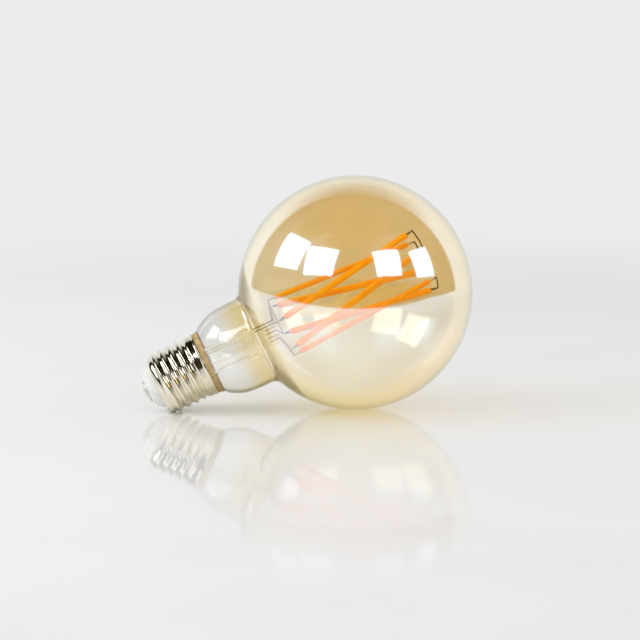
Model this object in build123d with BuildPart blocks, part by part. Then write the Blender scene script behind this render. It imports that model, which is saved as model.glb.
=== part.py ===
from build123d import *
import math
import os

# A vacuum-sealed LED filament lamp with an E27 screw cap and a radio-controlled driver.
# Millimetres. Z runs up the lamp axis, and the origin is the tip of the centre contact.

# Envelope
lamp_length = 142.0
globe_diameter = 95.0
glass_wall = 1.0
neck_radius = 18.4
neck_blend_radius = 3.5
seal_radius = 11.5
seal_foot = 22.0
seal_top = 27.6
shoulder_outline = ((13.4, 29.6), (15.5, 32.2), (17.6, 37.0), (18.25, 42.0))

# Screw cap, sizes of an E27 cap
thread_pitch = 3.629
thread_crest_radius = 13.1
thread_root_radius = 12.05
thread_start = 7.6
thread_rise = 16.6
thread_start_angle = 180.0
shell_seam_angle = 120.0
ridge_width = 3.0
skirt_radius = 13.0
skirt_bottom = 23.5
skirt_top = 26.0
rim_radius = 13.35
rim_inner_radius = 12.95
rim_height = 27.1
rim_lip = 0.4
shell_sheet = 0.35
shell_foot = 7.9
thread_top = 22.3
shell_mouth_radius = 9.0
shell_mouth_height = 5.6
shell_turn = (10.6, 6.0)
shell_turn_inner = (10.5, 6.35)

# Foot of the cap
contact_radius = 4.7
contact_bottom = 0.9
contact_top = 1.9
solder_radius = 2.2
solder_flat_radius = 1.0
insulator_top = 6.8
insulator_foot_radius = 4.9
insulator_hole_radius = 0.8
cement_foot = 23.8
cement_top = 29.6

# Stem
stem_angle = 125.0
stem_radius = 5.7
flare_rim_height = 1.2
flare_top = 34.0
flare_outer_bend = (7.3, 26.8)
flare_inner_bend = (6.2, 26.6)
press_width = 10.4
press_thickness = 3.6
press_taper_foot = 46.0
press_foot = 51.0
press_top = 57.6
exhaust_radius = 2.5
exhaust_wall = 0.8
exhaust_tip = 26.0
exhaust_tip_round = 2.0
exhaust_tip_thickness = 2.5
lead_foot = 25.0

# Filaments
filament_count = 6
filament_ring_radius = 12.6
filament_near_height = 64.0
filament_far_height = 123.2
filament_first_angle = 20.0
filament_twist = -62.5
coat_width = 2.7
coat_thickness = 2.1
coat_rounding = 0.9
strip_width = 0.9
strip_thickness = 0.4
pin_length = 1.8
wire_radius = 0.3
link_radius = 0.25
wire_grip = 3.0
wire_bend_length = 1.1
wire_fan_height = 59.2
slot_by_filament = (-3.0, 1.8, 3.4, 0.0, -1.6, -4.2)

# Driver inside the cap
sleeve_radius = 11.4
sleeve_wall = 0.5
sleeve_foot = 9.0
sleeve_top = 21.0
board_width = 19.0
board_foot = 9.4
board_top = 21.5
board_front = 2.0
board_back = 1.0
module_width = 13.0
module_foot = 9.4
module_top = 21.4
module_back = 6.1
module_front = 6.9
insulated_wire_radius = 0.55
bare_wire_radius = 0.3

# Parts on the driver board: places are (x, z) on the board's face
component_height = 15.0
component_side = 5.0
package_height = 1.5
capacitor_radius = 3.15
capacitor_length = 7.4
choke_radius = 3.0
choke_flange = 1.0
choke_length = 5.8
choke_pole_radius = 1.4
winding_radius = 2.6
resistor_radius = 1.2
resistor_foot = 12.0
resistor_length = 6.0
pin_size = 0.6
pin_height = 10.4
pin_step = 2.0
pin_count = 5
shield_place = (0, 13.6)
shield_size = (9.0, 7.6)
shield_height = 1.8
antenna_start = -5.2
antenna_low = 18.6
antenna_high = 20.6
antenna_step = 1.8
antenna_turns = 5
antenna_track = 0.5
antenna_thickness = 0.15

globe_radius = globe_diameter / 2
globe_height = lamp_length - globe_radius

os.makedirs("parts", exist_ok=True)


def save(builder, name):
    """Label a finished piece and write its STEP file."""
    builder.part.label = name
    export_step(builder.part, f"parts/{name}.step")


def on_circle(radius, angle, height):
    """Point at an angle in degrees round the lamp axis."""
    turn = math.radians(angle)
    return Vector(radius * math.cos(turn), radius * math.sin(turn), height)


def bent_wire(points, radius):
    """Round wire that runs straight from point to point."""
    with BuildPart() as wire:
        with BuildLine():
            path = Polyline(*points)
        with BuildSketch(Plane(origin=path @ 0, z_dir=path % 0)):
            Circle(radius)
        sweep(transition=Transition.ROUND)
    return wire.part


def curved_wire(start, end, start_direction, end_direction, radius):
    """Round wire in one smooth bend between two points."""
    with BuildPart() as wire:
        with BuildLine():
            path = Spline(start, end, tangents=(start_direction, end_direction))
        with BuildSketch(Plane(origin=path @ 0, z_dir=path % 0)):
            Circle(radius)
        sweep()
    return wire.part


# Glass envelope: globe, concave blend, neck shoulder and the seal inside the cap


def envelope_body(inset, foot):
    """Solid of revolution bounded by the envelope's surface, moved inwards by inset."""
    radius = globe_radius - inset
    waist = neck_radius - inset
    blend = neck_blend_radius + inset
    reach = radius + blend
    blend_drop = math.sqrt(reach**2 - (waist + blend) ** 2)
    blend_height = globe_height - blend_drop
    tangent = (radius * (waist + blend) / reach, globe_height - radius * blend_drop / reach)
    crown = (0, globe_height + radius)
    blend_angle = math.degrees(math.atan2(blend_drop, waist + blend))
    middle = math.radians(180 - blend_angle / 2)
    blend_middle = (
        waist + blend + blend * math.cos(middle),
        blend_height + blend * math.sin(middle),
    )
    with BuildPart() as body:
        with BuildSketch(Plane.XZ):
            with BuildLine():
                Line((0, foot), (seal_radius - inset, foot))
                Line((seal_radius - inset, foot), (seal_radius - inset, seal_top))
                Spline(
                    (seal_radius - inset, seal_top),
                    *[(point[0] - inset, point[1]) for point in shoulder_outline],
                    (waist, blend_height),
                    tangents=((0, 1), (0, 1)),
                )
                ThreePointArc((waist, blend_height), blend_middle, tangent)
                ThreePointArc(tangent, (radius, globe_height), crown)
                Line(crown, (0, foot))
            make_face()
        revolve(axis=Axis.Z)
    return body.part


with BuildPart() as glass_envelope:
    add(envelope_body(0, seal_foot))
    add(envelope_body(glass_wall, seal_foot - 1), mode=Mode.SUBTRACT)
save(glass_envelope, "glass_envelope")


# Filaments: a metallised strip inside a phosphor coat, slanted between two rings


def filament_plane(index):
    """Plane at the lower end of a filament's coat, facing along it, and the coat's length."""
    angle = filament_first_angle + 360 / filament_count * index
    near = on_circle(filament_ring_radius, angle, filament_near_height)
    far = on_circle(filament_ring_radius, angle + filament_twist, filament_far_height)
    along = (far - near).normalized()
    outwards = on_circle(1, angle + filament_twist / 2, 0)
    return Plane(origin=near, x_dir=along.cross(outwards), z_dir=along), (far - near).length


near_pin_ends = []
far_pin_ends = []
filament_directions = []

for index in range(filament_count):
    plane, coat_length = filament_plane(index)
    with BuildPart() as filament_strip:
        with BuildSketch(plane.offset(-pin_length)):
            Rectangle(strip_width, strip_thickness)
        extrude(amount=coat_length + 2 * pin_length)
    save(filament_strip, f"filament_strip_{index + 1}")

    with BuildPart() as led_filament:
        with BuildSketch(plane):
            RectangleRounded(coat_width, coat_thickness, coat_rounding)
        extrude(amount=coat_length)
        add(filament_strip.part, mode=Mode.SUBTRACT)
    save(led_filament, f"led_filament_{index + 1}")

    near_pin_ends.append(plane.origin - plane.z_dir * pin_length)
    far_pin_ends.append(plane.origin + plane.z_dir * (coat_length + pin_length))
    filament_directions.append(plane.z_dir)


# Wires: links between filament ends, supports held in the stem press, and the two lead-in wires


def far_bend(index):
    return far_pin_ends[index] + filament_directions[index] * wire_bend_length


def near_bend(index):
    return near_pin_ends[index] - filament_directions[index] * wire_bend_length


def slot_point(index, height):
    """Point on a support wire's line through the flat press."""
    return on_circle(slot_by_filament[index], stem_angle, height)


with BuildPart() as link_wires:
    for index in range(0, filament_count, 2):
        kink = (far_bend(index) + far_bend(index + 1)) / 2
        kink = Vector(kink.X * 0.9, kink.Y * 0.9, kink.Z + 0.5)
        points = (
            far_pin_ends[index],
            far_bend(index),
            kink,
            far_bend(index + 1),
            far_pin_ends[index + 1],
        )
        add(bent_wire(points, wire_radius))
save(link_wires, "link_wires")

def stem_wire(index, foot):
    """Wire that leaves the press, fans out to the ring and ends on a filament's lower pin."""
    points = (
        slot_point(index, foot),
        slot_point(index, wire_fan_height),
        near_bend(index),
        near_pin_ends[index],
    )
    return bent_wire(points, wire_radius)


with BuildPart() as support_wires:
    for first, second in ((1, 2), (3, 4)):
        add(stem_wire(first, press_top - wire_grip))
        add(stem_wire(second, press_top - wire_grip))
        add(bent_wire((near_bend(first), near_bend(second)), link_radius))
save(support_wires, "support_wires")

with BuildPart() as lead_in_wires:
    for index in (0, filament_count - 1):
        add(stem_wire(index, lead_foot))
save(lead_in_wires, "lead_in_wires")


# Glass stem: trumpet flare, tube and the flat press that grips the wires

with BuildPart() as stem_flare:
    rim_outer = seal_radius - glass_wall
    rim_inner = rim_outer - glass_wall
    bore_radius = stem_radius - glass_wall
    bore_top = press_taper_foot - glass_wall
    with BuildSketch(Plane.XZ):
        with BuildLine():
            Line((rim_inner, seal_foot), (rim_outer, seal_foot))
            Line((rim_outer, seal_foot), (rim_outer, seal_foot + flare_rim_height))
            Spline(
                (rim_outer, seal_foot + flare_rim_height),
                flare_outer_bend,
                (stem_radius, flare_top),
                tangents=((-2, 1), (0, 1)),
            )
            Polyline(
                (stem_radius, flare_top),
                (stem_radius, press_taper_foot),
                (0, press_taper_foot),
                (0, bore_top),
                (bore_radius, bore_top),
                (bore_radius, flare_top),
            )
            Spline(
                (bore_radius, flare_top),
                flare_inner_bend,
                (rim_inner, seal_foot),
                tangents=((0, -1), (3, -2)),
            )
        make_face()
    revolve(axis=Axis.Z)
    with BuildSketch(Plane.XY.offset(press_taper_foot)):
        Circle(stem_radius)
    with BuildSketch(Plane.XY.offset(press_foot).rotated((0, 0, stem_angle))):
        RectangleRounded(press_width, press_thickness, 1.2)
    loft()
    with BuildSketch(Plane.XY.offset(press_foot).rotated((0, 0, stem_angle))):
        RectangleRounded(press_width, press_thickness, 1.2)
    extrude(amount=press_top - press_foot)
    add(lead_in_wires.part, mode=Mode.SUBTRACT)
    add(support_wires.part, mode=Mode.SUBTRACT)
save(stem_flare, "stem_flare")

with BuildPart() as exhaust_tube:
    with BuildSketch(Plane.XY.offset(exhaust_tip)):
        Circle(exhaust_radius)
    extrude(amount=bore_top - exhaust_tip)
    fillet(exhaust_tube.faces().sort_by(Axis.Z)[0].edges(), exhaust_tip_round)
    hollow_foot = exhaust_tip + exhaust_tip_thickness
    with BuildSketch(Plane.XY.offset(hollow_foot)):
        Circle(exhaust_radius - exhaust_wall)
    extrude(amount=bore_top - hollow_foot, mode=Mode.SUBTRACT)
save(exhaust_tube, "exhaust_tube")


# Screw cap

with BuildPart() as thread_ridge:
    ridge_foot = thread_root_radius - 0.1
    with BuildLine(Plane.XY.offset(thread_start)):
        ridge_path = Helix(thread_pitch, thread_rise, ridge_foot)
    with BuildSketch(Plane(origin=ridge_path @ 0, x_dir=(1, 0, 0), z_dir=ridge_path % 0)):
        with BuildLine():
            crest = (thread_crest_radius - ridge_foot, 0)
            ThreePointArc((0, -ridge_width / 2), crest, (0, ridge_width / 2))
            Line((0, ridge_width / 2), (0, -ridge_width / 2))
        make_face()
    sweep(is_frenet=True)
    # The ridge fades into the rounded foot of the shell and into the step below the skirt
    ridge_seat = thread_root_radius - shell_sheet / 2
    ridge_limit = thread_crest_radius + 0.1
    with BuildSketch(Plane.XZ):
        with BuildLine():
            Polyline(
                (ridge_seat, thread_start),
                (ridge_limit, thread_start + 2.0),
                (ridge_limit, skirt_bottom - 2.8),
                (skirt_radius - 0.05, skirt_bottom),
                (skirt_radius - shell_sheet / 2, skirt_bottom),
                (ridge_seat, thread_top),
                close=True,
            )
        make_face()
    revolve(axis=Axis.Z, mode=Mode.INTERSECT)

with BuildPart() as cap_shell:
    inner_root = thread_root_radius - shell_sheet
    inner_skirt = skirt_radius - shell_sheet
    mouth = (shell_mouth_radius, shell_mouth_height)
    mouth_inner = (shell_mouth_radius, shell_mouth_height + shell_sheet)
    # The seam of the revolved shell lies clear of both ends of the thread
    seam = on_circle(1, shell_seam_angle, 0)
    with BuildSketch(Plane(origin=(0, 0, 0), x_dir=seam, z_dir=(seam.Y, -seam.X, 0))):
        with BuildLine():
            Line(mouth, shell_turn)
            ThreePointArc(shell_turn, (11.7, 6.7), (thread_root_radius, shell_foot))
            Polyline(
                (thread_root_radius, shell_foot),
                (thread_root_radius, thread_top),
                (skirt_radius, skirt_bottom),
                (skirt_radius, skirt_top),
                (rim_radius, rim_height - rim_lip),
                (rim_radius, rim_height),
                (rim_inner_radius, rim_height),
                (inner_skirt, rim_height - 2 * rim_lip),
                (inner_skirt, skirt_bottom + 0.2),
                (inner_root, thread_top + 0.2),
                (inner_root, shell_foot),
            )
            ThreePointArc((inner_root, shell_foot), (11.38, 6.95), shell_turn_inner)
            Polyline(shell_turn_inner, mouth_inner, mouth)
        make_face()
    revolve(axis=Axis.Z)
    add(thread_ridge.part, rotation=(0, 0, thread_start_angle))
save(cap_shell, "cap_shell")

with BuildPart() as cap_insulator:
    with BuildSketch(Plane.XZ):
        with BuildLine():
            Line((insulator_hole_radius, contact_top), (insulator_foot_radius, contact_top))
            ThreePointArc((insulator_foot_radius, contact_top), (7.6, 3.6), mouth)
            Polyline(
                mouth,
                mouth_inner,
                shell_turn_inner,
                (shell_turn_inner[0], insulator_top),
                (insulator_hole_radius, insulator_top),
                (insulator_hole_radius, contact_top),
            )
        make_face()
    revolve(axis=Axis.Z)
save(cap_insulator, "cap_insulator")

with BuildPart() as centre_contact:
    with BuildSketch(Plane.XY.offset(contact_bottom)):
        Circle(contact_radius)
        Circle(insulated_wire_radius, mode=Mode.SUBTRACT)
    extrude(amount=contact_top - contact_bottom)
    fillet(centre_contact.faces().sort_by(Axis.Z)[0].outer_wire().edges(), 0.4)
save(centre_contact, "centre_contact")

with BuildPart() as contact_solder:
    with BuildSketch(Plane.XZ):
        with BuildLine():
            Line((0, 0), (solder_flat_radius, 0))
            ThreePointArc((solder_flat_radius, 0), (1.8, 0.35), (solder_radius, contact_bottom))
            Line((solder_radius, contact_bottom), (0, contact_bottom))
            Line((0, contact_bottom), (0, 0))
        make_face()
    revolve(axis=Axis.Z)
save(contact_solder, "contact_solder")

with BuildPart() as capping_cement:
    bead_foot = (rim_inner_radius - 0.1, rim_height)
    bead_top = (13.55, cement_top)
    with BuildSketch(Plane.XZ):
        with BuildLine():
            Polyline(
                bead_foot,
                (inner_skirt, rim_height - 2 * rim_lip),
                (inner_skirt, cement_foot),
                (seal_radius - glass_wall / 2, cement_foot),
                (seal_radius - glass_wall / 2, cement_top),
                bead_top,
            )
            ThreePointArc(bead_top, (13.0, 28.3), bead_foot)
        make_face()
    revolve(axis=Axis.Z)
    add(envelope_body(0, seal_foot), mode=Mode.SUBTRACT)
save(capping_cement, "capping_cement")


# Driver: an upright board in the cap, with its parts on both faces and the radio module in front

with BuildPart() as insulating_sleeve:
    with BuildSketch(Plane.XY.offset(sleeve_foot)):
        Circle(sleeve_radius)
        Circle(sleeve_radius - sleeve_wall, mode=Mode.SUBTRACT)
    extrude(amount=sleeve_top - sleeve_foot)
save(insulating_sleeve, "insulating_sleeve")

with BuildPart() as driver_board:
    board_middle = (board_foot + board_top) / 2
    with BuildSketch(Plane.XZ.offset(board_back)):
        with Locations((0, board_middle)):
            RectangleRounded(board_width, board_top - board_foot, 1.0)
    extrude(amount=board_front - board_back)
save(driver_board, "driver_board")


def flat_package(plane, centre, size, height):
    """Moulded package lying on a board, with its upper edges bevelled."""
    with BuildPart() as package:
        with BuildSketch(plane):
            with Locations(centre):
                Rectangle(*size)
        extrude(amount=height, taper=5)
    return package


front_face = Plane.XZ.offset(board_front)
back_face = Plane.XZ.offset(board_back)

bridge_rectifier = flat_package(front_face, (-component_side, component_height), (4.7, 3.9), package_height)
save(bridge_rectifier, "bridge_rectifier")

driver_chip = flat_package(front_face, (component_side, component_height), (3.9, 4.9), package_height)
save(driver_chip, "driver_chip")

with BuildPart() as input_capacitor:
    with BuildSketch(back_face):
        with Locations((-component_side, component_height)):
            Circle(capacitor_radius)
    extrude(amount=-capacitor_length)
    fillet(input_capacitor.faces().sort_by(Axis.Y)[-1].edges(), 0.4)
save(input_capacitor, "input_capacitor")

with BuildPart() as choke_core:
    for flange_face in (back_face, back_face.offset(choke_flange - choke_length)):
        with BuildSketch(flange_face):
            with Locations((component_side, component_height)):
                Circle(choke_radius)
        extrude(amount=-choke_flange)
    with BuildSketch(back_face):
        with Locations((component_side, component_height)):
            Circle(choke_pole_radius)
    extrude(amount=-choke_length)
save(choke_core, "choke_core")

with BuildPart() as choke_winding:
    with BuildSketch(back_face.offset(-choke_flange)):
        with Locations((component_side, component_height)):
            Circle(winding_radius)
            Circle(choke_pole_radius, mode=Mode.SUBTRACT)
    extrude(amount=2 * choke_flange - choke_length)
save(choke_winding, "choke_winding")

with BuildPart() as fusible_resistor:
    resistor_y = resistor_radius - board_back
    with BuildSketch(Plane(origin=(0, resistor_y, resistor_foot))):
        Circle(resistor_radius)
    extrude(amount=resistor_length)
    fillet(fusible_resistor.edges().filter_by(GeomType.CIRCLE), 0.4)
    for end, outwards in ((resistor_foot, -1), (resistor_foot + resistor_length, 1)):
        bend = end + 1.2 * outwards
        lead = ((0, resistor_y, end - 0.2 * outwards), (0, resistor_y, bend), (0, -board_back, bend))
        add(bent_wire(lead, bare_wire_radius))
save(fusible_resistor, "fusible_resistor")

with BuildPart() as module_pins:
    with BuildSketch(front_face):
        with Locations((0, pin_height)):
            with GridLocations(pin_step, 1, pin_count, 1):
                Rectangle(pin_size, pin_size)
    extrude(amount=module_back - board_front)
save(module_pins, "module_pins")

with BuildPart() as module_board:
    with BuildSketch(Plane.XZ.offset(module_back)):
        with Locations((0, (module_foot + module_top) / 2)):
            RectangleRounded(module_width, module_top - module_foot, 0.5)
    extrude(amount=module_front - module_back)
save(module_board, "module_board")

with BuildPart() as module_shield:
    with BuildSketch(Plane.XZ.offset(module_front)):
        with Locations(shield_place):
            RectangleRounded(*shield_size, 0.5)
    extrude(amount=shield_height)
    fillet(module_shield.faces().sort_by(Axis.Y)[0].edges(), 0.3)
save(module_shield, "module_shield")

with BuildPart() as module_antenna:
    corners = [(antenna_start, antenna_low - antenna_track), (antenna_start, antenna_high)]
    for turn in range(antenna_turns):
        right = antenna_start + antenna_step * (turn + 1)
        ends = (antenna_high, antenna_low) if turn % 2 == 0 else (antenna_low, antenna_high)
        corners += [(right, end) for end in ends]
    with BuildSketch(Plane.XZ.offset(module_front)):
        with BuildLine():
            Polyline(*corners)
        trace(line_width=antenna_track)
    extrude(amount=antenna_thickness)
save(module_antenna, "module_antenna")

board_y = -(board_front + board_back) / 2

with BuildPart() as live_wire:
    with BuildSketch(Plane.XY.offset(contact_bottom)):
        Circle(insulated_wire_radius)
    extrude(amount=insulator_top - contact_bottom)
    bend = ((0, 0, insulator_top), (0, board_y, board_foot))
    add(curved_wire(*bend, (0, 0, 1), (0, 0, 1), insulated_wire_radius))
save(live_wire, "live_wire")

with BuildPart() as neutral_wire:
    bend = ((7.0, board_y, board_foot), (inner_root - 0.2, board_y, shell_foot))
    add(curved_wire(*bend, (0, 0, -1), (1, 0, 0), bare_wire_radius))
save(neutral_wire, "neutral_wire")

with BuildPart() as output_wires:
    for index, board_x in ((0, 0.9), (filament_count - 1, 4.4)):
        bend = ((board_x, board_y, board_top), slot_point(index, lead_foot))
        add(curved_wire(*bend, (0, 0, 1), (0, 0, 1), insulated_wire_radius))
save(output_wires, "output_wires")
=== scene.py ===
import math

import bmesh
import bpy
from mathutils import Matrix, Vector, noise


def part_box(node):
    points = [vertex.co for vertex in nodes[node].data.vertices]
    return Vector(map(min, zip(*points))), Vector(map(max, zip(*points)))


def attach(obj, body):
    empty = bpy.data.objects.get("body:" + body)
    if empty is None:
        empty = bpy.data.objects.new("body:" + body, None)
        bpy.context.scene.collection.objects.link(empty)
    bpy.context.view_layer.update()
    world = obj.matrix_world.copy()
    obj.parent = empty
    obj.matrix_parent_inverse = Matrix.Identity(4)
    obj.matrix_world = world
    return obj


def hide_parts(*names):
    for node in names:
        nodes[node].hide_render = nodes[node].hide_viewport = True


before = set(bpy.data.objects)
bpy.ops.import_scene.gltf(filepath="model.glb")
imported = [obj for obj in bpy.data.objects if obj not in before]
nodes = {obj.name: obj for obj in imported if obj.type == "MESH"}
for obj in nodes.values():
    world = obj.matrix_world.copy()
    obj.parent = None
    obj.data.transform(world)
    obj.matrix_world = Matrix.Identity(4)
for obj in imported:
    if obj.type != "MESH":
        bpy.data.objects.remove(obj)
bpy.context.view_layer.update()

MM = 0.001
UP = Vector((0, 0, 1))

# The lamp lies on the table on its globe and the foot of its cap.
# These say how it is rolled and turned there, and where the camera is.
ROLL = math.radians(-46.2)
YAW = math.radians(6.0)
CAMERA_RISE = math.radians(8.0)
CAMERA_DISTANCE = 1.0
CAMERA_SHIFT = (14.3 * MM, 11.15 * MM)
CAMERA_SENSOR = 36.0
CAMERA_LENS = 138.7

BACKGROUND = (0.838, 0.838, 0.842)


# ---------------------------------------------------------------- lamp's place on the table

envelope_low, envelope_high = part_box("glass_envelope")
globe_radius = (envelope_high.x - envelope_low.x) / 2
globe_centre = Vector((0, 0, envelope_high.z - globe_radius))
up_side = Vector((math.cos(ROLL), math.sin(ROLL), 0))
near_side = UP.cross(up_side)


def resting_lean():
    """Angle between the table and the lamp's axis at which the cap just touches the table."""
    lean = math.pi / 2
    for name in ("cap_shell", "cap_insulator", "centre_contact", "contact_solder"):
        for vertex in nodes[name].data.vertices:
            along = globe_centre.z - vertex.co.z
            below = -vertex.co.dot(up_side)
            reach = math.hypot(along, below)
            lean = min(lean, math.asin(globe_radius / reach) - math.atan2(below, along))
    return lean


def stage_transform():
    """Matrix from the table's frame (right, away from the camera, up) to the lamp's frame."""
    lean = resting_lean()
    axis = Vector((math.cos(lean) * math.cos(YAW), math.cos(lean) * math.sin(YAW), math.sin(lean)))
    upper = (UP - math.sin(lean) * axis) / math.cos(lean)
    nearer = axis.cross(upper)
    lamp = Matrix((UP, up_side, near_side)).transposed()
    table = Matrix((axis, upper, nearer)).transposed()
    turn = lamp @ table.transposed()
    foot = globe_centre - globe_radius * (turn @ UP)
    return Matrix.Translation(foot) @ turn.to_4x4()


stage = stage_transform()
stage_right, stage_away, stage_up = (stage.to_3x3().col[i].copy() for i in range(3))


# ---------------------------------------------------------------- mesh helpers


def new_piece(name, bm):
    """Turns a bmesh into a smooth object in the scene."""
    bmesh.ops.recalc_face_normals(bm, faces=bm.faces)
    mesh = bpy.data.meshes.new(name)
    bm.to_mesh(mesh)
    bm.free()
    mesh.shade_smooth()
    piece = bpy.data.objects.new(name, mesh)
    bpy.context.scene.collection.objects.link(piece)
    return piece


def stand_for(piece, node):
    """piece is shown in place of a CAD node, and rides on its body."""
    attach(piece, "root")
    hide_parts(node)


def turned(name, outline, segments, wobble=None):
    """Piece turned about the lamp's axis from a closed (radius, height) outline in metres.

    wobble takes (radius, height, turn) and gives the radius and height at that turn.
    """
    bm = bmesh.new()
    rings = []
    for radius, height in outline:
        if radius < 1e-7:
            rings.append([bm.verts.new((0, 0, height))] * segments)
            continue
        ring = []
        for step in range(segments):
            turn = 2 * math.pi * step / segments
            r, z = (radius, height) if wobble is None else wobble(radius, height, turn)
            ring.append(bm.verts.new((r * math.cos(turn), r * math.sin(turn), z)))
        rings.append(ring)
    for lower, upper in zip(rings, rings[1:] + rings[:1]):
        for step in range(segments):
            following = (step + 1) % segments
            corners = (lower[step], lower[following], upper[following], upper[step])
            distinct = list(dict.fromkeys(corners))
            if len(distinct) > 2:
                bm.faces.new(distinct)
    return new_piece(name, bm)


def hermite(start, start_slope, end, end_slope, steps):
    """Points of a cubic between two (radius, height) points, without the first."""
    points = []
    for step in range(1, steps + 1):
        t = step / steps
        h00 = 2 * t**3 - 3 * t**2 + 1
        h10 = t**3 - 2 * t**2 + t
        h01 = 3 * t**2 - 2 * t**3
        h11 = t**3 - t**2
        points.append(
            tuple(
                h00 * start[i] + h10 * start_slope[i] + h01 * end[i] + h11 * end_slope[i]
                for i in range(2)
            )
        )
    return points


def smooth_through(points, first_slope, last_slope, steps):
    """Smooth curve through the points, with the given slopes at its ends."""
    slopes = [first_slope]
    for before, after in zip(points, points[2:]):
        slopes.append(tuple((after[i] - before[i]) / 2 for i in range(2)))
    slopes.append(last_slope)
    curve = [points[0]]
    for k in range(len(points) - 1):
        curve += hermite(points[k], slopes[k], points[k + 1], slopes[k + 1], steps)
    return curve


def arc(centre, radius, start, end, steps):
    """Points of an arc between two angles in radians, both ends included."""
    points = []
    for step in range(steps + 1):
        turn = start + (end - start) * step / steps
        points.append((centre[0] + radius * math.cos(turn), centre[1] + radius * math.sin(turn)))
    return points


def ease(value, low, high):
    """0 below low, 1 above high, smooth between."""
    t = min(max((value - low) / (high - low), 0.0), 1.0)
    return t * t * (3 - 2 * t)


# ---------------------------------------------------------------- node helpers


def empty_material(name):
    material = bpy.data.materials.new(name)
    material.use_nodes = True
    material.node_tree.nodes.clear()
    return material


def add_node(tree, kind, inputs=None, **settings):
    node = tree.nodes.new(kind)
    for key, value in settings.items():
        setattr(node, key, value)
    for key, value in (inputs or {}).items():
        if isinstance(value, bpy.types.NodeSocket):
            tree.links.new(value, node.inputs[key])
        else:
            node.inputs[key].default_value = value
    return node


def math_node(tree, operation, *values, clamp=False):
    inputs = dict(enumerate(values))
    return add_node(tree, "ShaderNodeMath", inputs, operation=operation, use_clamp=clamp).outputs[0]


def step_node(tree, value, low, high, out_low=0.0, out_high=1.0):
    """Smooth step of a value socket."""
    inputs = {"Value": value, "From Min": low, "From Max": high, "To Min": out_low, "To Max": out_high}
    node = add_node(tree, "ShaderNodeMapRange", inputs, interpolation_type="SMOOTHSTEP")
    return node.outputs["Result"]


def mix_colour(tree, factor, first, second):
    node = add_node(tree, "ShaderNodeMix", data_type="RGBA")
    for index, value in ((0, factor), (6, first), (7, second)):
        if isinstance(value, bpy.types.NodeSocket):
            tree.links.new(value, node.inputs[index])
        elif index == 0:
            node.inputs[index].default_value = value
        else:
            node.inputs[index].default_value = (*value, 1.0)
    return node.outputs[2]


NO_STRETCH = (1, 1, 1)


def noise_node(tree, scale, detail=3.0, stretch=NO_STRETCH):
    """Noise in the lamp's own space, scale in cells per metre."""
    place = add_node(tree, "ShaderNodeTexCoord").outputs["Object"]
    mapped = add_node(tree, "ShaderNodeMapping", {"Vector": place, "Scale": stretch}).outputs[0]
    inputs = {"Vector": mapped, "Scale": scale, "Detail": detail, "Roughness": 0.55}
    return add_node(tree, "ShaderNodeTexNoise", inputs).outputs["Fac"]


def output(tree, shader):
    add_node(tree, "ShaderNodeOutputMaterial", {"Surface": shader})


FINE_NOISE = 6


def solid_material(
    name, dark, light, scale, roughness, metallic=0.0, bump=0.2, depth=0.02, stretch=NO_STRETCH
):
    """Opaque material: its colour follows a noise, and a finer noise gives its roughness and relief.

    scale is in cells per metre, roughness is a (low, high) pair, and depth is in millimetres.
    """
    material = empty_material(name)
    tree = material.node_tree
    spread = step_node(tree, noise_node(tree, scale, stretch=stretch), 0.3, 0.7)
    fine = noise_node(tree, scale * FINE_NOISE, 2.0, stretch)
    relief = add_node(tree, "ShaderNodeBump", {"Strength": bump, "Distance": depth * MM, "Height": fine})
    inputs = {
        "Base Color": mix_colour(tree, spread, dark, light),
        "Roughness": step_node(tree, fine, 0.25, 0.75, *roughness),
        "Metallic": metallic,
        "Normal": relief.outputs[0],
    }
    output(tree, add_node(tree, "ShaderNodeBsdfPrincipled", inputs).outputs[0])
    return material


# ---------------------------------------------------------------- glass

GLASS_IOR = 1.5
GLEAM_ROUGHNESS = 0.08
STEM_IOR = 1.1
WHITE = (1, 1, 1, 1)


def mirror_shader(tree, colour, roughness):
    inputs = {"Color": colour, "Roughness": roughness}
    return add_node(tree, "ShaderNodeBsdfAnisotropic", inputs).outputs[0]


def glass_surface(tree, transmitted, reflected, shadow, ior=GLASS_IOR, roughness=0.0, shade=WHITE):
    """Refracting surface with a Fresnel gloss and an optional coloured coat.

    Light for matt surfaces goes straight through it, tinted with the shadow colour.
    """
    inputs = {"Color": transmitted, "Roughness": 0.0, "IOR": ior}
    body = add_node(tree, "ShaderNodeBsdfRefraction", inputs).outputs[0]
    if reflected is not None:
        coat = mirror_shader(tree, reflected, roughness)
        body = add_node(tree, "ShaderNodeAddShader", {0: body, 1: coat}).outputs[0]
    gloss = mirror_shader(tree, shade, roughness)
    fresnel = add_node(tree, "ShaderNodeFresnel", {"IOR": ior}).outputs[0]
    seen = add_node(tree, "ShaderNodeMixShader", {0: fresnel, 1: body, 2: gloss}).outputs[0]
    lit = add_node(tree, "ShaderNodeBsdfTransparent", {"Color": shadow}).outputs[0]
    path = add_node(tree, "ShaderNodeLightPath").outputs
    for_light = math_node(tree, "MAXIMUM", path["Is Shadow Ray"], path["Is Diffuse Ray"])
    return add_node(tree, "ShaderNodeMixShader", {0: for_light, 1: seen, 2: lit}).outputs[0]


def height_share(tree, low, high):
    """0 below low, 1 above high, along the lamp's axis."""
    place = add_node(tree, "ShaderNodeTexCoord").outputs["Object"]
    height = add_node(tree, "ShaderNodeSeparateXYZ", {0: place}).outputs[2]
    return step_node(tree, height, low, high)


def times(tree, first, second):
    """Product of two colour sockets."""
    node = add_node(tree, "ShaderNodeMix", {0: 1.0}, data_type="RGBA", blend_type="MULTIPLY")
    for index, value in ((6, first), (7, second)):
        tree.links.new(value, node.inputs[index])
    return node.outputs[2]


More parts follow.
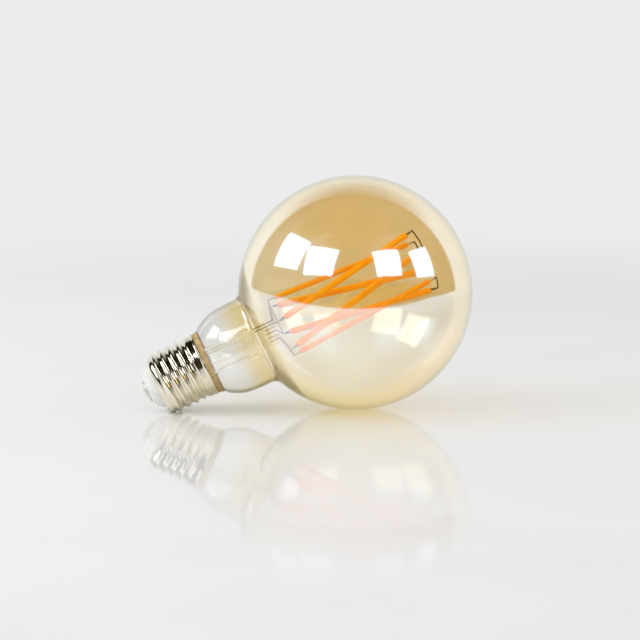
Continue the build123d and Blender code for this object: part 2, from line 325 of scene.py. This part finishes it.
def edge_shade(tree):
    """Painted shade: the glass's colours are darkened where it is seen edge-on, as thick glass would look,
    most of all round the joint with the neck.
    """
    away = height_share(tree, 54 * MM, 61 * MM)
    above_neck = height_share(tree, 49 * MM, 50.5 * MM)
    near = math_node(tree, "MULTIPLY", math_node(tree, "SUBTRACT", 1.0, away), above_neck)
    reach = step_node(tree, near, 0, 1, 0.12, 0.36)
    facing = add_node(tree, "ShaderNodeLayerWeight", {"Blend": 0.5}).outputs["Facing"]
    slope = math_node(tree, "SUBTRACT", 1.0, facing)
    share = math_node(tree, "DIVIDE", slope, reach)
    rise = step_node(tree, share, 0.2, 0.8, 0.35, 1.0)
    fall = step_node(tree, share, 0.85, 1.5, 1.0, 0.0)
    dark = math_node(tree, "MULTIPLY", rise, fall)
    strength = math_node(tree, "MULTIPLY", dark, step_node(tree, near, 0, 1, 0.1, 1.0))
    return mix_colour(tree, strength, (1, 1, 1), (0.55, 0.505, 0.46))


def amber_glass():
    """Outside of the envelope: a film that passes amber and mirrors a cool gleam, thinner on the neck."""
    material = empty_material("amber_glass")
    tree = material.node_tree
    uneven = step_node(tree, noise_node(tree, 60, 2.0), 0.3, 0.7)
    start = height_share(tree, 37 * MM, 49 * MM)
    film = height_share(tree, 45 * MM, 100 * MM)
    gleam = height_share(tree, 46 * MM, 58 * MM)
    facing = add_node(tree, "ShaderNodeLayerWeight", {"Blend": 0.5}).outputs["Facing"]
    grazing = step_node(tree, facing, 0.3, 0.8)
    from_inside = add_node(tree, "ShaderNodeNewGeometry").outputs["Backfacing"]
    clear = mix_colour(tree, uneven, (0.990, 0.982, 0.960), (1.0, 0.992, 0.975))
    yellow = mix_colour(tree, uneven, (0.97, 0.87, 0.61), (0.985, 0.89, 0.65))
    amber = mix_colour(tree, uneven, (0.91, 0.73, 0.395), (0.925, 0.745, 0.415))
    transmitted = mix_colour(tree, film, mix_colour(tree, start, clear, yellow), amber)
    high = height_share(tree, 56 * MM, 78 * MM)
    cool = mix_colour(tree, high, (0.135, 0.22, 0.39), (0.20, 0.40, 0.57))
    outside = mix_colour(tree, grazing, cool, (0.38, 0.49, 0.49))
    coated = mix_colour(tree, from_inside, outside, (0.10, 0.15, 0.43))
    reflected = mix_colour(tree, gleam, (0.03, 0.045, 0.06), coated)
    shadow = mix_colour(tree, film, (0.77, 0.72, 0.42), (1.0, 0.92, 0.79))
    # Painted shade: the passed, coat and gloss colours are darkened where the glass is seen edge-on.
    shade = edge_shade(tree)
    tinted = times(tree, transmitted, shade)
    coat = times(tree, reflected, shade)
    output(tree, glass_surface(tree, tinted, coat, shadow, roughness=GLEAM_ROUGHNESS, shade=shade))
    return material


def inner_glass():
    """Inside of the envelope, bare glass with weaker mirror images than the coated outside."""
    material = empty_material("envelope_inside")
    tree = material.node_tree
    uneven = step_node(tree, noise_node(tree, 80, 2.0), 0.3, 0.7)
    tint = mix_colour(tree, uneven, (0.99, 0.99, 0.985), (1, 1, 1))
    output(tree, glass_surface(tree, tint, None, tint, shade=(0.64, 0.62, 0.60, 1)))
    return material


def stem_glass_material():
    """Clear tube that turns olive where it was pressed flat round the wires."""
    material = empty_material("stem_glass")
    tree = material.node_tree
    uneven = step_node(tree, noise_node(tree, 80, 2.0), 0.3, 0.7)
    clear = mix_colour(tree, uneven, (0.99, 0.99, 0.985), (1.0, 1.0, 1.0))
    olive = mix_colour(tree, uneven, (0.975, 0.955, 0.83), (0.99, 0.975, 0.88))
    tint = mix_colour(tree, height_share(tree, 50 * MM, 52 * MM), clear, olive)
    output(tree, glass_surface(tree, tint, None, tint, STEM_IOR))
    return material


# ---------------------------------------------------------------- envelope

# These follow the CAD envelope. The shoulder is four (radius, height) points below the neck.
WALL = 1.0 * MM
SEAL_RADIUS = 11.5 * MM
SEAL_TOP = 27.6 * MM
NECK_RADIUS = 18.4 * MM
NECK_BLEND = 3.5 * MM
SHOULDER = (
    (13.4 * MM, 29.6 * MM),
    (15.5 * MM, 32.2 * MM),
    (17.6 * MM, 37.0 * MM),
    (18.25 * MM, 42.0 * MM),
)


def envelope_outline(inset):
    """Outline of the glass, inset from its outside, from the foot of the seal up to the crown."""
    radius = globe_radius - inset
    blend = NECK_BLEND + inset
    waist = NECK_RADIUS - inset
    drop = math.sqrt((radius + blend) ** 2 - (waist + blend) ** 2)
    blend_centre = (waist + blend, globe_centre.z - drop)
    meeting = math.atan2(drop, waist + blend)
    knots = [(SEAL_RADIUS - inset, SEAL_TOP)]
    knots += [(r - inset, z) for r, z in SHOULDER]
    knots.append((waist, blend_centre[1]))
    outline = [(SEAL_RADIUS - inset, envelope_low.z), (SEAL_RADIUS - inset, 25 * MM)]
    outline += smooth_through(knots, (0, 1.5 * MM), (0, 6 * MM), 8)
    outline += arc(blend_centre, blend, math.pi, math.pi - meeting, 14)[1:]
    outline += arc((0, globe_centre.z), radius, -meeting, math.pi / 2, 90)[1:-1]
    outline.append((0, globe_centre.z + radius))
    return outline


def build_envelope():
    outer = envelope_outline(0)
    inner = envelope_outline(WALL)
    piece = turned("glass_envelope_blown", outer + inner[::-1], 192)
    piece.data.materials.append(amber_glass())
    piece.data.materials.append(inner_glass())
    limit = globe_radius - WALL / 2
    for polygon in piece.data.polygons:
        x, y, z = polygon.center
        if z > globe_centre.z - limit * 0.9:
            inside = math.dist((x, y, z), globe_centre) < limit
        else:
            inside = polygon.normal.dot(Vector((x, y, 0))) < 0
        polygon.material_index = 1 if inside else 0
    stand_for(piece, "glass_envelope")


# ---------------------------------------------------------------- filaments

STRIP_WIDTH = 0.9 * MM
CHIP_PITCH = 1.45 * MM
COAT_END = 0.7 * MM
COAT_END_SHARE = 0.45
COAT_RINGS = 180
COAT_SIDES = 20


def strip_axes(index):
    """Lower end, direction and width direction of a filament's strip, from its CAD node."""
    corners = {tuple(round(c, 7) for c in v.co) for v in nodes[f"filament_strip_{index}"].data.vertices}
    by_height = sorted((Vector(c) for c in corners), key=lambda c: c.z)
    lower, upper = by_height[:4], by_height[-4:]
    start = sum(lower, Vector()) / 4
    along = (sum(upper, Vector()) / 4 - start).normalized()
    edges = [corner - lower[0] for corner in lower[1:]]
    across = min(edges, key=lambda edge: abs(edge.length - STRIP_WIDTH)).normalized()
    return start, along, across


def coat_section(index, place, to_end):
    """Share of a coat's full half width and half depth at a place along it, to_end from its nearer end."""
    fullness = math.sqrt(max(1 - (1 - min(to_end / COAT_END, 1)) ** 2, 0.0))
    rounding = COAT_END_SHARE + (1 - COAT_END_SHARE) * fullness
    swell = 0.965 + 0.035 * math.cos(2 * math.pi * place / CHIP_PITCH)
    wander = 0.03 * noise.noise(Vector((place * 400, index * 7.3, 0)))
    return rounding * (0.99 + wander), rounding * swell


def build_filament(index, material):
    """Phosphor coat with a soft swelling over each chip and rounded ends."""
    start, along, across = strip_axes(index)
    through = along.cross(across)
    coat = [v.co - start for v in nodes[f"led_filament_{index}"].data.vertices]
    low = min(c.dot(along) for c in coat)
    high = max(c.dot(along) for c in coat)
    half_width = max(abs(c.dot(across)) for c in coat)
    half_depth = max(abs(c.dot(through)) for c in coat)
    bm = bmesh.new()
    previous = None
    for ring in range(COAT_RINGS + 1):
        place = low + (high - low) * ring / COAT_RINGS
        x_reach, y_reach = coat_section(index, place, min(place - low, high - place))
        loop = []
        for side in range(COAT_SIDES):
            turn = 2 * math.pi * side / COAT_SIDES
            c, s = math.cos(turn), math.sin(turn)
            x = half_width * x_reach * math.copysign(abs(c) ** 0.75, c)
            y = half_depth * y_reach * math.copysign(abs(s) ** 0.85, s)
            loop.append(bm.verts.new(start + along * place + across * x + through * y))
        if previous:
            for side in range(COAT_SIDES):
                following = (side + 1) % COAT_SIDES
                bm.faces.new((previous[side], previous[following], loop[following], loop[side]))
        else:
            bm.faces.new(loop[::-1])
        previous = loop
    bm.faces.new(previous)
    piece = new_piece(f"filament_coat_{index}", bm)
    piece.data.materials.append(material)
    stand_for(piece, f"led_filament_{index}")


def phosphor_material():
    """Orange phosphor silicone, grainy and a little blotchy, with a faint painted glow."""
    material = empty_material("phosphor")
    tree = material.node_tree
    grain = step_node(tree, noise_node(tree, 900, 3.0), 0.3, 0.7)
    blotch = step_node(tree, noise_node(tree, 220, 2.0), 0.35, 0.65)
    orange = mix_colour(tree, grain, (0.93, 0.35, 0.001), (1.0, 0.42, 0.003))
    colour = mix_colour(tree, blotch, orange, (0.98, 0.46, 0.004))
    bumps = {"Strength": 0.3, "Distance": 0.03 * MM, "Height": noise_node(tree, 3000, 2.0)}
    relief = add_node(tree, "ShaderNodeBump", bumps)
    inputs = {
        "Base Color": colour,
        "Roughness": step_node(tree, grain, 0, 1, 0.42, 0.55),
        "Subsurface Weight": 0.25,
        "Subsurface Radius": (0.6, 0.3, 0.1),
        "Subsurface Scale": 0.6 * MM,
        # Painted light: the phosphor glows faintly in its own colour, though the lamp is not lit.
        "Emission Color": colour,
        "Emission Strength": 0.15,
        "Specular IOR Level": 0.12,
        "Normal": relief.outputs[0],
    }
    output(tree, add_node(tree, "ShaderNodeBsdfPrincipled", inputs).outputs[0])
    return material


# ---------------------------------------------------------------- screw cap

PITCH = 3.629 * MM
CREST_RADIUS = 13.1 * MM
ROOT_RADIUS = 12.05 * MM
CREST_AT_X = 9.41 * MM
SHEET = 0.3 * MM
THREAD_FOOT = 7.9 * MM
THREAD_TOP = 22.3 * MM
THREAD_STEPS = 120
SHELL_MOUTH = (
    (9.0 * MM, 5.65 * MM),
    (10.6 * MM, 6.0 * MM),
    (11.6 * MM, 6.75 * MM),
    (ROOT_RADIUS, THREAD_FOOT),
)
SHELL_SKIRT = (
    (ROOT_RADIUS, THREAD_TOP),
    (12.95 * MM, 23.5 * MM),
    (13.0 * MM, 24.8 * MM),
    (13.02 * MM, 26.0 * MM),
)
SHELL_RIM = (
    (13.02 * MM, 26.0 * MM),
    (13.15 * MM, 26.35 * MM),
    (13.33 * MM, 26.65 * MM),
    (13.26 * MM, 27.08 * MM),
)
SHELL_INNER_TOP = (12.98 * MM, 27.0 * MM)


def thread_height(height, turn):
    """How far the rolled thread stands above its root."""
    wave = 0.5 + 0.5 * math.cos(2 * math.pi * ((height - CREST_AT_X) / PITCH - turn / (2 * math.pi)))
    fade = ease(height, 7.0 * MM, 9.2 * MM) * (1 - ease(height, 20.9 * MM, 23.2 * MM))
    return (CREST_RADIUS - ROOT_RADIUS) * wave * fade


def shell_outline():
    """Unthreaded outside of the cap, from its turned-in mouth up to its rim."""
    rise = (THREAD_TOP - THREAD_FOOT) / THREAD_STEPS
    outline = smooth_through(SHELL_MOUTH, (1.4 * MM, 0.1 * MM), (0.1 * MM, 1.4 * MM), 6)
    outline += [(ROOT_RADIUS, THREAD_FOOT + rise * step) for step in range(1, THREAD_STEPS + 1)]
    outline += smooth_through(SHELL_SKIRT, (0.2 * MM, 1.2 * MM), (0.05 * MM, 1.2 * MM), 8)[1:]
    outline += smooth_through(SHELL_RIM, (0.02 * MM, 0.5 * MM), (-0.2 * MM, 0.2 * MM), 5)[1:]
    return outline


def build_cap_shell(material):
    """Cap shell of even sheet, with its thread rolled into the wall."""
    outer = shell_outline()
    inner = [(r - SHEET * 1.1, z + (SHEET if z < 8 * MM else 0)) for r, z in outer if z < 26.4 * MM]
    inner.append(SHELL_INNER_TOP)

    def rolled(radius, height, turn):
        return radius + thread_height(height, turn), height

    piece = turned("cap_shell_rolled", outer + inner[::-1], 224, wobble=rolled)
    piece.data.materials.append(material)
    stand_for(piece, "cap_shell")


def nickel_material():
    """Bright nickel plate with faint turning lines and small stains."""
    material = empty_material("nickel")
    tree = material.node_tree
    lines = noise_node(tree, 900, 2.0, (0.15, 0.15, 6.0))
    stains = step_node(tree, noise_node(tree, 260, 4.0), 0.4, 0.75)
    relief = add_node(tree, "ShaderNodeBump", {"Strength": 0.12, "Distance": 0.01 * MM, "Height": lines})
    polish = step_node(tree, lines, 0.3, 0.7, 0.06, 0.13)
    dullness = math_node(tree, "MULTIPLY", stains, 0.06)
    inputs = {
        "Base Color": mix_colour(tree, stains, (0.93, 0.88, 0.75), (0.83, 0.77, 0.64)),
        "Metallic": 1.0,
        "Roughness": math_node(tree, "ADD", polish, dullness),
        "Normal": relief.outputs[0],
    }
    output(tree, add_node(tree, "ShaderNodeBsdfPrincipled", inputs).outputs[0])
    return material


# Cement ring: up between shell and glass, out over the rim, and back down along the glass, in millimetres
CEMENT_OUTLINE = (
    (11.55, 24.0),
    (12.55, 24.0),
    (12.6, 26.1),
    (12.9, 27.05),
    (12.9, 27.6),
    (12.98, 28.2),
    (13.16, 28.8),
    (13.46, 29.35),
    (13.44, 29.5),
    (13.1, 29.1),
    (11.62, 27.6),
)
# Solder drop, from its lowest point out and up to the contact, in millimetres
SOLDER_OUTLINE = (
    (0, 0.03),
    (0.5, 0.03),
    (1.0, 0.06),
    (1.45, 0.2),
    (1.8, 0.42),
    (2.05, 0.68),
    (2.16, 0.9),
    (0, 0.9),
)


def build_cement(material):
    """Cement between cap and glass, with the uneven bead that squeezed out of the rim."""

    def lumpy(radius, height, turn):
        spot = Vector((math.cos(turn), math.sin(turn), 0)) * 9 + Vector((0, 0, height * 900))
        lump = noise.noise(spot) * ease(height, 27.1 * MM, 28.0 * MM)
        return radius + 0.09 * MM * lump, height + 0.12 * MM * lump - 0.04 * MM

    outline = [(r * MM, z * MM) for r, z in CEMENT_OUTLINE]
    piece = turned("cement_bead", outline, 160, wobble=lumpy)
    piece.data.materials.append(material)
    stand_for(piece, "capping_cement")


def build_solder(material):
    """Drop of solder on the centre contact, a little out of round."""

    def slumped(radius, height, turn):
        lobe = 0.06 * noise.noise(Vector((math.cos(turn), math.sin(turn), height * 400)) * 1.7)
        return radius * (0.95 + lobe), height

    outline = [(r * MM, z * MM) for r, z in SOLDER_OUTLINE]
    piece = turned("solder_drop", outline, 64, wobble=slumped)
    piece.data.materials.append(material)
    stand_for(piece, "contact_solder")


def lead_metal():
    """Lead-in wire: bright, with a painted glow, where it runs in the stem, tarnished above the press."""
    material = empty_material("lead_metal")
    tree = material.node_tree
    grain = step_node(tree, noise_node(tree, 500), 0.3, 0.7)
    tarnish = height_share(tree, 49 * MM, 54 * MM)
    bright = mix_colour(tree, grain, (0.74, 0.73, 0.68), (0.86, 0.85, 0.80))
    dull = mix_colour(tree, grain, (0.40, 0.34, 0.26), (0.56, 0.50, 0.40))
    inputs = {
        "Base Color": mix_colour(tree, tarnish, bright, dull),
        "Metallic": step_node(tree, tarnish, 0, 1, 0.1, 0.85),
        "Roughness": step_node(tree, grain, 0, 1, 0.35, 0.5),
        # Painted light: the wire glows faintly in its bright colour inside the stem, fading out above the
        # press.
        "Emission Color": bright,
        "Emission Strength": step_node(tree, tarnish, 0, 1, 0.28, 0.0),
    }
    output(tree, add_node(tree, "ShaderNodeBsdfPrincipled", inputs).outputs[0])
    return material


# ---------------------------------------------------------------- pieces

FILAMENTS = range(1, 7)

build_envelope()
phosphor = phosphor_material()
for index in FILAMENTS:
    build_filament(index, phosphor)
build_cap_shell(nickel_material())

stem_glass = stem_glass_material()
strip_metal = solid_material("strip_metal", (0.42, 0.36, 0.28), (0.60, 0.54, 0.44), 700, (0.25, 0.4), 1.0)
wire_metal = solid_material("wire_metal", (0.58, 0.54, 0.46), (0.74, 0.70, 0.62), 500, (0.35, 0.5), 0.5)
link_metal = solid_material("link_metal", (0.16, 0.14, 0.11), (0.28, 0.25, 0.20), 500, (0.3, 0.45), 1.0)
insulator = solid_material("insulator", (0.72, 0.72, 0.70), (0.80, 0.80, 0.78), 300, (0.25, 0.4))
contact = solid_material("contact_metal", (0.70, 0.69, 0.66), (0.84, 0.83, 0.80), 400, (0.4, 0.55), 0.6)
solder = solid_material("solder", (0.62, 0.62, 0.61), (0.78, 0.78, 0.77), 900, (0.35, 0.55), 0.7, 0.5, 0.05)
cement = solid_material("cement", (0.38, 0.25, 0.10), (0.58, 0.42, 0.20), 500, (0.5, 0.75), 0, 0.7, 0.15)
board = solid_material("circuit_board", (0.02, 0.13, 0.05), (0.03, 0.19, 0.08), 300, (0.3, 0.45))
laminate = solid_material("module_laminate", (0.01, 0.02, 0.08), (0.02, 0.04, 0.13), 300, (0.3, 0.45))
epoxy = solid_material("package_black", (0.015, 0.015, 0.016), (0.035, 0.035, 0.037), 1500, (0.5, 0.7))
can_sleeve = solid_material("capacitor_sleeve", (0.02, 0.02, 0.028), (0.04, 0.04, 0.05), 300, (0.2, 0.35))
ferrite = solid_material("ferrite", (0.025, 0.025, 0.026), (0.06, 0.06, 0.062), 1200, (0.6, 0.8))
copper = solid_material(
    "copper", (0.70, 0.26, 0.10), (0.86, 0.42, 0.20), 500, (0.2, 0.35), 1.0, 0.6, 0.05, (0.2, 8, 0.2)
)
lacquer = solid_material("resistor_body", (0.26, 0.42, 0.45), (0.34, 0.50, 0.52), 600, (0.35, 0.5))
shield = solid_material("shield_metal", (0.55, 0.55, 0.53), (0.72, 0.72, 0.70), 400, (0.25, 0.4), 1.0)
gold = solid_material("pin_metal", (0.70, 0.50, 0.20), (0.85, 0.65, 0.30), 500, (0.2, 0.35), 1.0)
sleeve = solid_material("sleeve_plastic", (0.74, 0.74, 0.70), (0.84, 0.84, 0.81), 200, (0.4, 0.55))
red = solid_material("wire_red", (0.42, 0.01, 0.008), (0.55, 0.02, 0.015), 500, (0.3, 0.45))
white = solid_material("wire_white", (0.70, 0.70, 0.66), (0.80, 0.80, 0.77), 500, (0.3, 0.45))

build_cement(cement)
build_solder(solder)

finishes = {
    "stem_flare": stem_glass,
    "exhaust_tube": stem_glass,
    "link_wires": link_metal,
    "support_wires": wire_metal,
    "lead_in_wires": lead_metal(),
    "neutral_wire": wire_metal,
    "cap_insulator": insulator,
    "centre_contact": contact,
    "insulating_sleeve": sleeve,
    "driver_board": board,
    "bridge_rectifier": epoxy,
    "driver_chip": epoxy,
    "input_capacitor": can_sleeve,
    "choke_core": ferrite,
    "choke_winding": copper,
    "fusible_resistor": lacquer,
    "module_pins": gold,
    "module_board": laminate,
    "module_shield": shield,
    "module_antenna": copper,
    "live_wire": red,
    "output_wires": white,
}
for index in FILAMENTS:
    finishes[f"filament_strip_{index}"] = strip_metal
for name, material in finishes.items():
    nodes[name].data.materials.clear()
    nodes[name].data.materials.append(material)


# ---------------------------------------------------------------- stage: table, light, camera

TABLE_FRONT = -0.378
TABLE_SIDE = 1.6
TABLE_BACK = 2.0
TABLE_COLOUR = (0.80, 0.80, 0.80)
TABLE_COLOUR_LIGHT = (0.82, 0.82, 0.82)
TABLE_IOR = 1.45
TABLE_ROUGHNESS = 0.055


def table_material():
    """Glossy white table that melts into the background away from the lamp, and isn't seen from below."""
    material = empty_material("table")
    tree = material.node_tree
    place = add_node(tree, "ShaderNodeTexCoord").outputs["Object"]
    distance = add_node(tree, "ShaderNodeVectorMath", {0: place}, operation="LENGTH").outputs["Value"]
    tone = step_node(tree, noise_node(tree, 12, 2.0), 0.3, 0.7)
    colour = mix_colour(tree, tone, TABLE_COLOUR, TABLE_COLOUR_LIGHT)
    matt = add_node(tree, "ShaderNodeBsdfDiffuse", {"Color": colour}).outputs[0]
    mirror = mirror_shader(tree, (0.97, 0.97, 0.97, 1), TABLE_ROUGHNESS)
    fresnel = add_node(tree, "ShaderNodeFresnel", {"IOR": TABLE_IOR}).outputs[0]
    near = step_node(tree, distance, 0.12, 0.31, 1.0, 0.0)
    mirrored = math_node(tree, "MULTIPLY", fresnel, near)
    surface = add_node(tree, "ShaderNodeMixShader", {0: mirrored, 1: matt, 2: mirror}).outputs[0]
    haze = add_node(tree, "ShaderNodeEmission", {"Color": (*BACKGROUND, 1), "Strength": 1.0}).outputs[0]
    far = step_node(tree, distance, 0.3, 0.75)
    faded = add_node(tree, "ShaderNodeMixShader", {0: far, 1: surface, 2: haze}).outputs[0]
    gone = add_node(tree, "ShaderNodeBsdfTransparent").outputs[0]
    below = add_node(tree, "ShaderNodeNewGeometry").outputs["Backfacing"]
    output(tree, add_node(tree, "ShaderNodeMixShader", {0: below, 1: faded, 2: gone}).outputs[0])
    return material


def build_table():
    """Flat table that the lamp lies on."""
    bm = bmesh.new()
    corners = (
        (-TABLE_SIDE, TABLE_FRONT),
        (TABLE_SIDE, TABLE_FRONT),
        (TABLE_SIDE, TABLE_BACK),
        (-TABLE_SIDE, TABLE_BACK),
    )
    bm.faces.new([bm.verts.new((x, y, 0)) for x, y in corners])
    bm.normal_update()
    mesh = bpy.data.meshes.new("table")
    bm.to_mesh(mesh)
    bm.free()
    table = bpy.data.objects.new("table", mesh)
    bpy.context.scene.collection.objects.link(table)
    table.matrix_world = stage
    mesh.materials.append(table_material())


# The backdrop in the mirror images: where its middle points, how wide it is, and where it fades upwards
BACKDROP_TURN = math.radians(5)
BACKDROP_SPREAD = math.radians(61)
BACKDROP_EDGE = math.radians(2.5)
BACKDROP_FADE = (math.radians(24), math.radians(86))
BACKDROP_COLOUR = (0.81, 0.81, 0.81)
ROOM_LOW = (0.05, 0.038, 0.01)
ROOM_HIGH = (0.012, 0.009, 0.003)
MATT_LIGHT = (0.75, 0.75, 0.75)


def build_world():
    """Plain background for the camera, even light for matt surfaces, and a studio for reflections."""
    world = bpy.data.worlds.new("studio")
    bpy.context.scene.world = world
    world.use_nodes = True
    world.cycles.sampling_method = "NONE"
    tree = world.node_tree
    tree.nodes.clear()
    direction = add_node(tree, "ShaderNodeTexCoord").outputs["Generated"]

    def along(axis):
        inputs = {0: direction, 1: axis}
        return add_node(tree, "ShaderNodeVectorMath", inputs, operation="DOT_PRODUCT").outputs["Value"]

    behind = along(stage_right * math.sin(BACKDROP_TURN) + stage_away * math.cos(BACKDROP_TURN))
    outer, inner = (math.cos(BACKDROP_SPREAD + side * BACKDROP_EDGE) for side in (1, -1))
    inside = step_node(tree, behind, outer, inner)
    rise = along(stage_up)
    fade_start, fade_end = (math.sin(angle) for angle in BACKDROP_FADE)
    fall = step_node(tree, rise, fade_start, fade_end, 1.0, 0.0)
    backdrop = math_node(tree, "MULTIPLY", inside, fall)
    room = mix_colour(tree, step_node(tree, rise, -0.1, 0.7), ROOM_LOW, ROOM_HIGH)
    studio = mix_colour(tree, backdrop, room, BACKDROP_COLOUR)
    path = add_node(tree, "ShaderNodeLightPath").outputs
    mirrored = math_node(tree, "GREATER_THAN", path["Glossy Depth"], 0.5)
    matt = math_node(tree, "GREATER_THAN", path["Diffuse Depth"], 0.5)
    seen = mix_colour(tree, mirrored, BACKGROUND, studio)
    colour = mix_colour(tree, matt, seen, MATT_LIGHT)
    shader = add_node(tree, "ShaderNodeBackground", {"Color": colour, "Strength": 1.0}).outputs[0]
    add_node(tree, "ShaderNodeOutputWorld", {"Surface": shader})


def build_camera():
    """Camera in front of the lamp, a little above the table, aimed past the globe's middle."""
    data = bpy.data.cameras.new("camera")
    data.sensor_width = CAMERA_SENSOR
    data.lens = CAMERA_LENS
    data.clip_start, data.clip_end = 0.05, 20.0
    camera = bpy.data.objects.new("camera", data)
    bpy.context.scene.collection.objects.link(camera)
    aim = Matrix.Translation((0, 0, globe_radius)) @ Matrix.Rotation(math.pi / 2 - CAMERA_RISE, 4, "X")
    offset = Matrix.Translation((-CAMERA_SHIFT[0], -CAMERA_SHIFT[1], CAMERA_DISTANCE))
    camera.matrix_world = stage @ aim @ offset
    bpy.context.scene.camera = camera
    return camera


SOFTBOX_DISTANCE = 1.1
SOFTBOX_GLARE = 3.0
# Bearing and rise in degrees, width and height in metres, and the light each gives to matt surfaces
SOFTBOXES = (
    (-38, 28, 0.565, 0.49, 1.3),
    (-76, 31.6, 0.565, 0.49, 6.0),
    (33, 26.5, 0.47, 0.46, 1.3),
    (72, 23, 0.40, 0.42, 1.3),
)


def build_softbox(name, place, facing, size, radiance, mirrored):
    """Area light that either shows in reflections or lights matt surfaces."""
    data = bpy.data.lights.new(name, "AREA")
    data.shape = "RECTANGLE"
    data.size, data.size_y = size
    data.energy = radiance * math.pi * size[0] * size[1]
    light = bpy.data.objects.new(name, data)
    bpy.context.scene.collection.objects.link(light)
    light.matrix_world = Matrix.Translation(place) @ facing
    light.visible_camera = False
    light.visible_diffuse = not mirrored
    light.visible_glossy = mirrored
    light.visible_transmission = mirrored


def build_lights(camera):
    """Four softboxes in front of the lamp, placed round it from the camera's line of sight."""
    turn = camera.matrix_world.to_3x3()
    for number, (bearing, rise, width, height, strength) in enumerate(SOFTBOXES):
        b, r = math.radians(bearing), math.radians(rise)
        direction = turn @ Vector((math.cos(r) * math.sin(b), math.sin(r), math.cos(r) * math.cos(b)))
        side = (turn.col[1]).cross(direction).normalized()
        upright = direction.cross(side)
        facing = Matrix((side, upright, direction)).transposed().to_4x4()
        place = globe_centre + direction * SOFTBOX_DISTANCE
        build_softbox(f"softbox_glare_{number}", place, facing, (width, height), SOFTBOX_GLARE, True)
        build_softbox(f"softbox_light_{number}", place, facing, (width, height), strength, False)


build_table()
build_world()
build_lights(build_camera())

cycles = bpy.context.scene.cycles
cycles.max_bounces = 32
cycles.transmission_bounces = 32
cycles.glossy_bounces = 8
cycles.transparent_max_bounces = 32

view = bpy.context.scene.view_settings
view.view_transform = "Standard"
view.look = "None"
